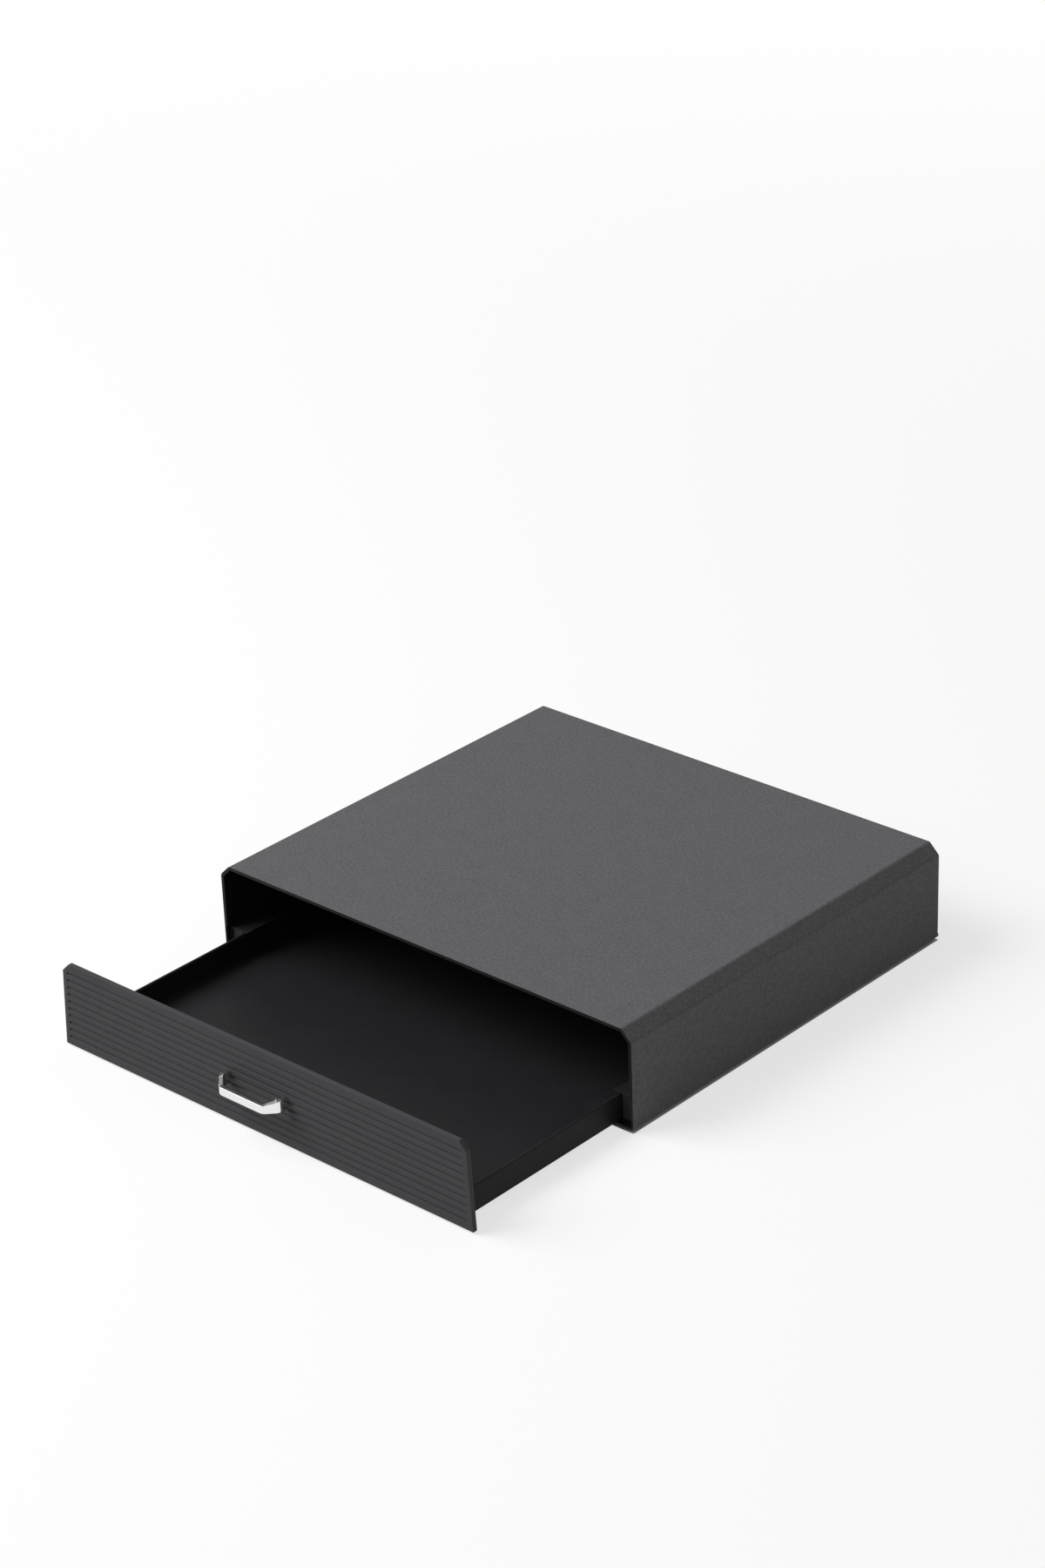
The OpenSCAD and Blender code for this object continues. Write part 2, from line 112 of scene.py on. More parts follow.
# %% Wires
class Wire:
    """One output of a node. Python's operators on it add the Math nodes."""

    def __init__(self, network, socket):
        self.network, self.socket = network, socket

    def _maths(self, operation, first, second):
        return self.network.node(
            "ShaderNodeMath", {"operation": operation}, {0: first, 1: second}
        )

    def __add__(self, other):
        return self._maths("ADD", self, other)

    def __radd__(self, other):
        return self._maths("ADD", other, self)

    def __sub__(self, other):
        return self._maths("SUBTRACT", self, other)

    def __rsub__(self, other):
        return self._maths("SUBTRACT", other, self)

    def __mul__(self, other):
        return self._maths("MULTIPLY", self, other)

    def __rmul__(self, other):
        return self._maths("MULTIPLY", other, self)


# %% [markdown]
# ## Every other node
#
# All other nodes come from one method, which takes a node's type, its settings and what goes into
# its sockets: a wire becomes a link, and a number or a colour becomes the socket's own value. The
# same class serves the finishes, the worktop and the room, because each of them is a tree of nodes.

# %% Networks
class Network:
    """A tree of nodes in the making, of a finish, the worktop or the room."""

    def __init__(self, tree):
        self.tree = tree

    def node(self, kind, settings=None, sockets=None, output=0):
        made = self.tree.nodes.new(kind)
        for name, value in (settings or {}).items():
            if name == "stops":
                ramp = made.color_ramp.elements
                while len(ramp) < len(value):
                    ramp.new(1)
                for stop, (at, shade) in zip(ramp, value):
                    stop.position, stop.color = at, (shade, shade, shade, 1)
            else:
                setattr(made, name, value)
        for name, value in (sockets or {}).items():
            self.feed(made.inputs[name], value)
        return Wire(self, made.outputs[output])

    def feed(self, socket, value):
        if isinstance(value, Wire):
            self.tree.links.new(value.socket, socket)
        else:
            socket.default_value = value

    def blend(self, share, first, second):
        """From the first colour to the second as share goes from 0 to 1.

        A Mix node has sockets for each kind of value. Inputs 6 and 7 and output 2 are for colours.
        """
        return self.node(
            "ShaderNodeMix", {"data_type": "RGBA"}, {0: share, 6: first, 7: second}, output=2
        )


# %% [markdown]
# ## What the finishes share
#
# Each finish feeds one Principled shader. What changes over its surface comes from noise in the
# piece's own coordinates, so a pattern keeps its real size, and stays in place when the drawer
# moves. An image would do too, but noise has no seams and stays sharp at any distance. A value that
# is the same all over is set on the shader's own socket.

# %% Finishes
class Finish(Network):
    """A material in the making: its nodes, and the shader that they feed."""

    def __init__(self, name, **shader):
        self.material = bpy.data.materials.new(name)
        self.material.use_nodes = True
        super().__init__(self.material.node_tree)
        self.shader = self.tree.nodes["Principled BSDF"]
        self.place = self.node("ShaderNodeTexCoord", output="Object")
        for setting, value in shader.items():
            self.shader.inputs[setting].default_value = value

    def noise(self, size, detail, stretch=(1, 1, 1)):
        """Noise whose blotches are about this size, in metres. A stretch below 1 draws them out."""
        place = self.node(
            "ShaderNodeMapping", {"vector_type": "POINT"}, {"Vector": self.place, "Scale": stretch}
        )
        return self.node(
            "ShaderNodeTexNoise", None, {"Vector": place, "Scale": 1 / size, "Detail": detail}
        )

    def ramp(self, value, *stops):
        return self.node("ShaderNodeValToRGB", {"stops": stops}, {"Fac": value})

    def bump(self, height, depth, strength):
        bumped = self.node(
            "ShaderNodeBump", None, {"Height": height, "Distance": depth, "Strength": strength}
        )
        self.feed(self.shader.inputs["Normal"], bumped)

    def colour(self, value):
        self.feed(self.shader.inputs["Base Color"], value)

    def roughness(self, value):
        self.feed(self.shader.inputs["Roughness"], value)


# %% [markdown]
# ## Greys
#
# Everything on this object is a grey, and a grey is easiest to judge as it looks on a screen, from
# 0 to 255. The shader counts light instead, so each level is turned into light first, by the curve
# that screens use. The photograph's greys have a trace of blue, which the coats and mouldings get
# too.

# %% Greys
TRACE_OF_BLUE = 2


def grey(level, blue=0):
    """A grey from 0 to 255, with so much more blue, as the shader wants it."""
    def light(v):
        v = v / 255
        return v / 12.92 if v <= 0.04045 else ((v + 0.055) / 1.055) ** 2.4
    return (light(level), light(level), light(level + blue), 1)


print("a grey of 128 is", round(grey(128)[0], 3), "of white's light")

# %% [markdown]
# ## The powder coats
#
# The housing is steel with a baked powder coat: matt, dark grey, with a fine grain that one feels
# more than sees. Three noises make it. The finest is the grain, and it raises the surface by a few
# hundredths of a millimetre. One of about twice its size, cut to specks, is where the powder shows
# paler. The broadest is the uneven thickness of the coat, and it changes the colour and the
# roughness by very little. The tray, the runners and the back panel have a smoother coat of the
# same make, whose much darker grey is painted shade: it stands in for the shade that they lie in,
# inside the housing and behind the front. So the same function serves with other numbers.

# %% Powder coats
COAT_CLOUD = 14 * MM
CLOUD_RAISES = 0.4
CLOUD_ROUGHENS = 0.14
GRAIN_ROUGHENS = 0.06
COAT_RELIEF = 0.05 * MM
COAT_BUMP = 0.55
SPECK_TO_GRAIN = 2.2
SPECK_STARTS = 0.42
SPECK_FULL = 0.62
SPECK_PALER = 2.6
SPECK_SHARE = 0.5


def powder_coat(name, level, grain_size, uneven, rough, shine):
    """A coat of this grey level, whose colour is uneven by so many levels."""
    finish = Finish(name, **{"Specular IOR Level": shine})
    grain = finish.noise(grain_size, detail=3)
    cloud = finish.noise(COAT_CLOUD, detail=4)
    spots = finish.noise(SPECK_TO_GRAIN * grain_size, detail=1)
    speck = finish.ramp(spots, (SPECK_STARTS, 0), (SPECK_FULL, 1))
    darker, paler = (grey(level + step, TRACE_OF_BLUE) for step in (-uneven, uneven))
    palest = grey(level + SPECK_PALER * uneven, TRACE_OF_BLUE)
    clouded = finish.blend(cloud, darker, paler)
    finish.colour(finish.blend(SPECK_SHARE * speck, clouded, palest))
    finish.roughness(rough + CLOUD_ROUGHENS * cloud + GRAIN_ROUGHENS * grain)
    finish.bump(grain + CLOUD_RAISES * cloud, COAT_RELIEF, COAT_BUMP)
    return finish.material


COAT = powder_coat(
    "textured_powder_coat", level=84, grain_size=0.8 * MM, uneven=7.5, rough=0.5, shine=0.12
)
# painted shade: this coat's dark grey stands in for the shade inside the housing and behind the
# front
SATIN_COAT_PAINTED_SHADE = powder_coat(
    "satin_coat_painted_shade", level=32, grain_size=0.5 * MM, uneven=2.5, rough=0.36, shine=0.07
)
print(COAT.name, "and", SATIN_COAT_PAINTED_SHADE.name, "have", len(COAT.node_tree.nodes), "nodes each")

# %% [markdown]
# ## The moulded front
#
# The ribbed front is a moulding, in a somewhat darker grey than the housing. Its skin is smoother
# than the powder coat, and a moulding shows faint flow lines along its ribs. Lines could be drawn
# with a wave, but those would be too regular, so a noise is stretched sideways instead. The same
# function makes the nylon of the guides and the rubber of the feet, which are moulded too.

# %% Moulded plastics and rubber
FLOW_LINE = 1.2 * MM
MOULD_CLOUD = 22 * MM
LINE_SHARE = 0.6
MOULD_UNEVEN = 5
MOULD_ROUGH = 0.46
LINES_ROUGHEN = 0.16
MOULD_RELIEF = 0.03 * MM
MOULD_BUMP = 0.5
ALONG_THE_RIBS = (0.06, 1, 1)
EVERY_WAY = (1, 1, 1)


def moulding(name, level, flow, shine):
    """A moulding of this grey level, whose flow lines are stretched as the scale of flow says."""
    finish = Finish(name, **{"Specular IOR Level": shine})
    lines = finish.noise(FLOW_LINE, detail=3, stretch=flow)
    cloud = finish.noise(MOULD_CLOUD, detail=3)
    darker, paler = (grey(level + step, TRACE_OF_BLUE) for step in (-MOULD_UNEVEN, MOULD_UNEVEN))
    finish.colour(finish.blend(LINE_SHARE * lines + (1 - LINE_SHARE) * cloud, darker, paler))
    finish.roughness(MOULD_ROUGH + LINES_ROUGHEN * lines)
    finish.bump(lines, MOULD_RELIEF, MOULD_BUMP)
    return finish.material


RIBBED = moulding("ribbed_moulding", level=58, flow=ALONG_THE_RIBS, shine=0.12)
NYLON = moulding("moulded_nylon", level=34, flow=EVERY_WAY, shine=0.3)
RUBBER = moulding("moulded_rubber", level=28, flow=EVERY_WAY, shine=0.15)
print("mouldings:", RIBBED.name, NYLON.name, RUBBER.name)

# %% [markdown]
# ## Metals
#
# The handle is polished: a mirror with hair-fine scratches along it, which only its roughness and a
# trace of bump show. The strap's cut edges, which face up and down, are not polished as far, so
# they are rougher. Their darker grey is a painted reflection, of the dark that those edges mirror.
# They could be given a material of their own, but the surface's own direction picks them out as
# well, rounded corners and all. The screws are zinc plated, and the plate is a duller, mottled
# metal whose blotches are a few millimetres across. The rivets are stained dark to go with the
# coat.

# %% Metals
SCRATCH = 0.5 * MM
SCRATCH_RELIEF = 0.01 * MM
SCRATCH_BUMP = 0.3
METAL_DARKER = 8
METAL_PALER = 5
RUBBED = 0.5
CUT_EDGE_STARTS = 0.15
CUT_EDGE_FULL = 0.6
CUT_EDGE_ROUGHENS = 0.35
ALONG_THE_STRAP = (0.03, 1, 1)
ALONG_THE_DEPTH = (1, 0.05, 1)


def metal(name, level, rough, scratch, blotch, blue=0, painted_edge_reflection=None):
    """Bare metal with stretched scratches and mottling, and a darker level painted on its cut edges
    as a reflection.
    """
    finish = Finish(name, Metallic=1.0)
    lines = finish.noise(SCRATCH, detail=2, stretch=scratch)
    mottle = finish.noise(blotch, detail=3)
    tone = finish.blend(mottle, grey(level - METAL_DARKER, blue), grey(level + METAL_PALER, blue))
    rub = rough + RUBBED * rough * lines + RUBBED * rough * mottle
    if painted_edge_reflection:
        facing = finish.node("ShaderNodeNewGeometry", output="Normal")
        upward = finish.node("ShaderNodeSeparateXYZ", None, {"Vector": facing}, output="Z")
        # painted reflection: faces that look up or down get a darker grey for the dark they reflect
        edge = finish.ramp(upward * upward, (CUT_EDGE_STARTS, 0), (CUT_EDGE_FULL, 1))
        tone = finish.blend(edge, tone, grey(painted_edge_reflection))
        rub = rub + CUT_EDGE_ROUGHENS * edge
    finish.colour(tone)
    finish.roughness(rub)
    finish.bump(lines, SCRATCH_RELIEF, SCRATCH_BUMP)
    return finish.material


# the strap's cut edges get a painted reflection of grey 112
POLISHED = metal(
    "polished_steel", level=236, rough=0.07, scratch=ALONG_THE_STRAP, blotch=20 * MM, painted_edge_reflection=112
)
ZINC = metal("zinc_plate", level=176, rough=0.3, scratch=ALONG_THE_DEPTH, blotch=5 * MM, blue=4)
RIVET = metal("dark_rivet", level=86, rough=0.4, scratch=EVERY_WAY, blotch=2 * MM)
print("metals:", POLISHED.name, ZINC.name, RIVET.name)

# %% [markdown]
# ## Working on a bmesh
#
# A bmesh is a mesh that operators can reshape. A few small helpers hold what every piece needs.
# The bevel operator's defaults differ from the editor's, so all of its settings are given in one
# place. An operator gives back all that it made, and only the vertices among it are to be moved.

# %% Helpers for a bmesh
SEAM = 0.001 * MM
EDGE = 0.2 * MM


def tidy(bm):
    """Closes seams and poles, and points every face outwards."""
    bmesh.ops.remove_doubles(bm, verts=bm.verts, dist=SEAM)
    bmesh.ops.recalc_face_normals(bm, faces=bm.faces)


def move(bm, made, by):
    """Moves the vertices among what an operator made."""
    corners = [g for g in made if isinstance(g, bmesh.types.BMVert)]
    bmesh.ops.translate(bm, vec=by, verts=corners)


def bends(bm, over):
    """The edges where two faces meet at more than this angle, in degrees."""
    return [e for e in bm.edges if e.is_manifold and e.calc_face_angle(0) > math.radians(over)]


def bevel(bm, edges, width, segments):
    bmesh.ops.bevel(
        bm, geom=edges, offset=width, offset_type="OFFSET", segments=segments, profile=0.5,
        affect="EDGES", clamp_overlap=True, material=-1,
    )


def soften(bm, width=EDGE, segments=2, over=50):
    """Rounds every edge that is sharper than an angle."""
    bevel(bm, bends(bm, over), width, segments)


print("edges are softened by", round(EDGE / MM, 2), "mm")

# %% [markdown]
# ## From a bmesh to a piece
#
# Every piece ends in the same way. Its mesh is shaded smooth, which by itself would make a flat
# face look puffed up beside its rounded edges. Smoothing only below an angle would leave a hard
# line where each rounding ends, so the normals are weighted by area instead, and the flat faces
# stay flat. The piece is then hung under the body that carries it, and the node that it stands
# for is hidden. The last lines measure how well it fills its node's box.

# %% Finishing a piece
def piece(bm, name, body, slot, finish, *nodes, second=None):
    mesh = bpy.data.meshes.new(name)
    bm.to_mesh(mesh)
    bm.free()
    mesh.shade_smooth()
    mesh.materials.append(finish)
    if second:
        mesh.materials.append(second)
    made = bpy.data.objects.new(name, mesh)
    bpy.context.scene.collection.objects.link(made)
    made.modifiers.new("flat faces stay flat", "WEIGHTED_NORMAL").keep_sharp = True
    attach(made, body)
    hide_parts(*nodes)
    low = [min(v.co[i] for v in mesh.vertices) for i in range(3)]
    high = [max(v.co[i] for v in mesh.vertices) for i in range(3)]
    boxes = [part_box(n) for n in nodes]
    off = max(
        max(abs(low[i] - min(b[0][i] for b in boxes)), abs(high[i] - max(b[1][i] for b in boxes)))
        for i in range(3)
    )
    print(name, len(mesh.polygons), "faces, within", round(off / MM, 2), "mm of its node's box")
    return made


# %% [markdown]
# ## Bent sheet
#
# The housing, the tray and the runners are all folded from flat sheet. One could cut them out of
# solid blocks, but a folded sheet is easier to make the way a press makes it: a path across the
# folds is drawn along their length, the folds are rounded, and the skin is given its thickness.
# The path is the sheet's outside, and the thickness goes in.

# %% Bent sheet
FOLD_SEGMENTS = 6
FOLD_OVER = 8


def strip(points, along):
    """An open skin: the path of points, drawn along a vector."""
    bm = bmesh.new()
    corners = [bm.verts.new(p) for p in points]
    path = [bm.edges.new(pair) for pair in zip(corners, corners[1:])]
    grown = bmesh.ops.extrude_edge_only(bm, edges=path)["geom"]
    move(bm, grown, along)
    bmesh.ops.recalc_face_normals(bm, faces=bm.faces)
    return bm


def press(bm, radius, thickness, inside, rim=EDGE):
    """Rounds the folds, thickens the skin towards a point inside, and softens its rims."""
    bevel(bm, bends(bm, FOLD_OVER), radius, FOLD_SEGMENTS)
    largest = max(bm.faces, key=lambda f: f.calc_area())
    outwards = largest.normal.dot(largest.calc_center_median() - inside) > 0
    if not outwards:
        bmesh.ops.reverse_faces(bm, faces=bm.faces)
    bmesh.ops.solidify(bm, geom=bm.faces, thickness=thickness)
    soften(bm, rim)


# %% [markdown]
# ## The housing
#
# One sheet makes the flat top, the 45 degree bends along both long top edges, the sides and the
# flanges turned in underneath. Its outline is written once, as a function of how far it is drawn
# in, because the hem, the lip and the back panel all follow it at their own distance.

# %% The housing's outline
SHEET = 1.2 * MM
SLOPE = 7.5 * MM
FLANGE = 22 * MM
LIP = 11 * MM
LIP_START = 5 * MM
low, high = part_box("housing")
half, floor_z, top_z, front_y, back_y = high.x, low.z, high.z, low.y, high.y
heart = (low + high) / 2


def outline(inset):
    """The housing's outside from the lower left round to the lower right, drawn in by an inset."""
    side, top = half - inset, top_z - inset
    slope = SLOPE - inset * (2 - math.sqrt(2))
    return [
        (-side, floor_z + LIP_START), (-side, top - slope), (-side + slope, top),
        (side - slope, top), (side, top - slope), (side, floor_z + LIP_START),
    ]


print("housing, in mm:", [round(c / MM, 1) for c in high - low])

# %% The housing's skin
path = [(-half + FLANGE, floor_z), (-half, floor_z)] + outline(0)[1:5]
path += [(half, floor_z), (half - FLANGE, floor_z)]
bm = strip([(x, front_y, z) for x, z in path], (0, back_y - front_y, 0))
print(len(bends(bm, FOLD_OVER)), "folds")

# %% [markdown]
# At the back a lip is turned in all round, which stiffens the sheet and carries the back panel. It
# starts a little above the flanges, so that the press can reach both. Each side's back edge is
# split there. The edges above are extruded on the spot, and the new corners are moved to the same
# outline drawn in by the lip's width, which keeps the lip even round the bends.

# %% The lip
CLOSE = 0.1 * MM
HOUSING_FOLD = 1.3 * MM
HOUSING_RIM = 0.25 * MM


def at_back(v):
    return abs(v.co.y - back_y) < CLOSE


for side in (-1, 1):
    upright = next(
        e for e in bm.edges
        if all(at_back(v) and abs(v.co.x - side * half) < CLOSE for v in e.verts)
    )
    foot = min(upright.verts, key=lambda v: v.co.z)
    bmesh.utils.edge_split(upright, foot, LIP_START / upright.calc_length())
rim = [
    e for e in bm.edges
    if all(at_back(v) and v.co.z > floor_z + LIP_START - CLOSE for v in e.verts)
]
outer, inner = outline(0), outline(LIP)
grown = bmesh.ops.extrude_edge_only(bm, edges=rim)["geom"]
for v in [g for g in grown if isinstance(g, bmesh.types.BMVert)]:
    nearest = min(range(len(outer)), key=lambda i: (v.co.xz - Vector(outer[i])).length)
    v.co.x, v.co.z = inner[nearest]
bmesh.ops.recalc_face_normals(bm, faces=bm.faces)
press(bm, HOUSING_FOLD, SHEET, heart, HOUSING_RIM)
print("a lip of", len(rim), "stretches, then", len(bm.faces), "faces in all")

# %% [markdown]
# ## The hem
#
# Behind the opening's edge the sheet is turned back on itself, which hides the raw edge and makes
# it look twice as thick. Folding it would need a bend of no radius, so it is a second, narrow strip
# that overlaps the first by a hair and joins its mesh. It ends above the runners. The faces that
# look inwards or forwards take the darker second finish as painted shade, which darkens the rim
# and the inside as shade would.

# %% Hem
OPENING_HEM = 7 * MM
OPENING_HEM_START = 22.3 * MM
HEM_OVERLAP = 0.05 * MM
HEM_FOLD = 0.8 * MM
FORWARDS = -0.5


def join(bm, other):
    """Moves another bmesh's faces into this one."""
    holder = bpy.data.meshes.new("holder")
    other.to_mesh(holder)
    other.free()
    bm.from_mesh(holder)
    bpy.data.meshes.remove(holder)


path = [(x, max(z, floor_z + OPENING_HEM_START)) for x, z in outline(SHEET - HEM_OVERLAP)]
hem = strip([(x, front_y, z) for x, z in path], (0, OPENING_HEM, 0))
press(hem, HEM_FOLD, SHEET, heart, HOUSING_RIM)
join(bm, hem)
# painted shade: faces that look inwards or forwards take the dark second finish
for f in bm.faces:
    inwards = f.normal.dot(f.calc_center_median() - heart) < 0
    f.material_index = int(inwards or f.normal.y < FORWARDS)
piece(bm, "bent_housing", "housing", "powder_coat", COAT, "housing", second=SATIN_COAT_PAINTED_SHADE)

# %% [markdown]
# ## The back panel
#
# A plain plate closes the back. A scaled cube would give it square top corners, but it is cut to
# the housing's inside, so it is the housing's outline, drawn in and then extruded backwards. Its
# place behind the lip and its thickness come from its own node.

# %% Back panel
def plate(corners, front, thickness):
    """An upright plate: an outline of (x, z) corners, extruded backwards."""
    bm = bmesh.new()
    face = bm.faces.new([bm.verts.new((x, front, z)) for x, z in corners])
    back = bmesh.ops.extrude_face_region(bm, geom=[face])["geom"]
    move(bm, back, (0, thickness, 0))
    tidy(bm)
    return bm


low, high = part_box("back_panel")
corners = outline(half - high.x)
corners[0] = (corners[0][0], low.z)
corners[-1] = (corners[-1][0], low.z)
bm = plate(corners, low.y, high.y - low.y)
soften(bm)
piece(bm, "back_plate", "housing", "tray_coat", SATIN_COAT_PAINTED_SHADE, "back_panel")

# %% [markdown]
# ## The tray
#
# The floor and side walls are one folded sheet. The top of each side wall is turned over once more
# into a hem, which takes the sharp edge off and stiffens it. The end walls are turned up from the
# floor, and stop short of the corners, because a press can't fold into one: the floor is cut there
# first, and only the edges between the cuts are drawn up. The front wall is taller, since the
# ribbed front is screwed to it.

# %% The tray's floor and sides
WALL_HEM = 2.2 * MM
WALL_HEM_DROP = 3.2 * MM
CORNER_NOTCH = 2.6 * MM
BACK_WALL = 17.5 * MM


def cut(bm, place, normal):
    """Adds edges wherever a plane crosses the mesh."""
    everything = bm.verts[:] + bm.edges[:] + bm.faces[:]
    bmesh.ops.bisect_plane(bm, geom=everything, plane_co=place, plane_no=normal)


low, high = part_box("drawer_tray")
wall_top = low.z + BACK_WALL
side_path = [
    (high.x - WALL_HEM, wall_top - WALL_HEM_DROP), (high.x - WALL_HEM, wall_top),
    (high.x, wall_top), (high.x, low.z),
]
path = side_path + [(-x, z) for x, z in reversed(side_path)]
bm = strip([(x, low.y, z) for x, z in path], (0, high.y - low.y, 0))
for x in (low.x + CORNER_NOTCH, high.x - CORNER_NOTCH):
    cut(bm, (x, 0, 0), (1, 0, 0))
print("tray", round((high.x - low.x) / MM, 1), "mm wide, with", len(bends(bm, FOLD_OVER)), "folds")

# %% The tray's end walls
TRAY_SHEET = 0.9 * MM
TRAY_FOLD = 1 * MM
for end_y, wall in ((low.y, high.z - low.z), (high.y, BACK_WALL)):
    end = [
        e for e in bm.edges
        if all(
            abs(v.co.y - end_y) < CLOSE and abs(v.co.z - low.z) < CLOSE
            and abs(v.co.x) < high.x - CORNER_NOTCH + CLOSE
            for v in e.verts
        )
    ]
    grown = bmesh.ops.extrude_edge_only(bm, edges=end)["geom"]
    move(bm, grown, (0, 0, wall))
bmesh.ops.recalc_face_normals(bm, faces=bm.faces)
press(bm, TRAY_FOLD, TRAY_SHEET, (low + high) / 2)
piece(bm, "folded_tray", "drawer", "tray_coat", SATIN_COAT_PAINTED_SHADE, "drawer_tray")

# %% [markdown]
# ## The ribbed front
#
# The front is a flat moulding with level grooves, which leave broad ribs between them. Its ends
# lean in a little towards the top, where the corners are cut off. The grooves could be cut out with
# Boolean boxes, but those leave a poor mesh. Cutting the face into bands and sinking every second
# band is all it takes: an inset with a depth makes both the sloping walls and the groove's floor.
# Rounding the edges afterwards gives the soft ribs. The short bosses that the screws bite into are
# hidden in the tray's front wall, and aren't drawn.

# %% The front's plate
CUT_CORNER = 5.5 * MM
LEAN = 3 * MM
PANEL = 3.2 * MM
low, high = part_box("drawer_front")
tall = high.z - low.z
shoulder = high.z - CUT_CORNER
shoulder_x = high.x - LEAN * (tall - CUT_CORNER) / tall
bm = plate([
    (low.x, low.z), (high.x, low.z), (shoulder_x, shoulder), (shoulder_x - CUT_CORNER, high.z),
    (CUT_CORNER - shoulder_x, high.z), (-shoulder_x, shoulder),
], low.y, PANEL)
print("front panel", round((high.x - low.x) / MM, 1), "mm wide,", round(tall / MM, 1), "mm high")

# %% The grooves
GROOVES = 10
GROOVE_FIRST = 6 * MM
GROOVE_PITCH = 5 * MM
GROOVE_WIDTH = 2 * MM
GROOVE_WALL = 0.3 * MM
GROOVE_DEPTH = 0.8 * MM
BORDER = 3.5 * MM
RIB_EDGE_OVER = 30
SQUARELY = 0.9
for side in (-1, 1):
    cut(bm, (side * (high.x - BORDER), 0, low.z), (side * tall, 0, LEAN))
groove_middles = [low.z + GROOVE_FIRST + i * GROOVE_PITCH for i in range(GROOVES)]
for z in groove_middles:
    for step in (-GROOVE_WIDTH / 2, GROOVE_WIDTH / 2):
        cut(bm, (0, 0, z + step), (0, 0, 1))
bands = [
    f for f in bm.faces
    if f.normal.y < -SQUARELY and abs(f.calc_center_median().x) < BORDER
    and min(abs(f.calc_center_median().z - z) for z in groove_middles) < CLOSE
]
bmesh.ops.inset_individual(bm, faces=bands, thickness=GROOVE_WALL, depth=-GROOVE_DEPTH)
soften(bm, over=RIB_EDGE_OVER)
print(len(bands), "grooves")
piece(bm, "ribbed_front", "drawer", "ribbed_front", RIBBED, "drawer_front")

# %% [markdown]
# ## The handle
#
# The handle is a strap of polished steel on edge, bent like a staple with its corners cut off. It
# could be a curve with a flat section, but a curve pinches its section in tight bends. So it is a
# folded strip too, drawn upwards this time. Its bends are rounded, the skin gets the strap's
# thickness, and its top edge is lowered from the panel to the grip. Its edges are rounded more than
# the sheets' are, because a polished edge shows as a bright line.

# %% The strap's path
GRIP_CORNER = 17.87 * MM
LEG_CORNER = 6.93 * MM
TAB = 12.5 * MM
low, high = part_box("handle")
panel_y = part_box("drawer_front")[0].y
half_path = [
    (high.x - TAB, high.y), (high.x, high.y), (high.x, panel_y - LEG_CORNER),
    (GRIP_CORNER, low.y),
]
path = half_path + [(-x, y) for x, y in reversed(half_path)]
bm = strip([(x, y, low.z) for x, y in path], (0, 0, high.z - low.z))
print("the handle stands", round((panel_y - low.y) / MM, 1), "mm out")

# %% The strap
STRAP = 3 * MM
STRAP_EDGE = 0.6 * MM
STRAP_EDGE_SEGMENTS = 4
STRAP_BEND_OVER = 30
STRAP_BEND_SEGMENTS = 8
FOLD_RADIUS = 4.1 * MM
CORNER_BEVEL = 2.3 * MM
SLOPE_START = 6.3 * MM
GRIP_HEIGHT = 5.5 * MM
for width, behind in ((FOLD_RADIUS, True), (CORNER_BEVEL, False)):
    folds = [e for e in bends(bm, STRAP_BEND_OVER) if (e.verts[0].co.y > panel_y) == behind]
    bevel(bm, folds, width, STRAP_BEND_SEGMENTS)
grip = min(bm.faces, key=lambda f: f.calc_center_median().y)
if grip.normal.y > 0:
    bmesh.ops.reverse_faces(bm, faces=bm.faces)
bmesh.ops.solidify(bm, geom=bm.faces, thickness=STRAP)
slope_y = panel_y - SLOPE_START
for v in bm.verts:
    if v.co.z > (low.z + high.z) / 2:
        share = (slope_y - v.co.y) / (slope_y - low.y - STRAP)
        v.co.z -= min(max(share, 0), 1) * (high.z - low.z - GRIP_HEIGHT)
soften(bm, STRAP_EDGE, STRAP_EDGE_SEGMENTS)
piece(bm, "bail_handle", "drawer", "polished_steel", POLISHED, "handle")

# %% [markdown]
# ## The runners
#
# Each runner is a small folded channel beside the tray: a foot on the flange, an upright web, and a
# top leg that reaches over the tray's wall. The right one is the left one's mirror image. A mirror
# would turn its faces inside out, so both are drawn from the same path with a side of -1 or 1.

# %% Runners
RAIL_SHEET = 1 * MM
RAIL_FOLD = 1.4 * MM
FOOT_WIDTH = 8 * MM
for side, name in ((-1, "left"), (1, "right")):
    low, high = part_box(f"guide_rail_{name}")
    web = side * max(abs(low.x), abs(high.x))
    tip_x = side * min(abs(low.x), abs(high.x))
    path = [(web - side * FOOT_WIDTH, low.z), (web, low.z), (web, high.z), (tip_x, high.z)]
    bm = strip([(x, low.y, z) for x, z in path], (0, high.y - low.y, 0))
    press(bm, RAIL_FOLD, RAIL_SHEET, (low + high) / 2)
    piece(bm, f"runner_{name}", "housing", "tray_coat", SATIN_COAT_PAINTED_SHADE, f"guide_rail_{name}")

# %% [markdown]
# ## Turned parts
#
# Feet, bumpers, rivets and screws are all round. Stacked cylinders would leave hidden walls inside
# them, so each is a profile spun about its axis, as on a lathe. Its edges are rounded afterwards,
# and it is then copied to every place where it sits.

# %% Turned parts
TURNED_EDGE_OVER = 35


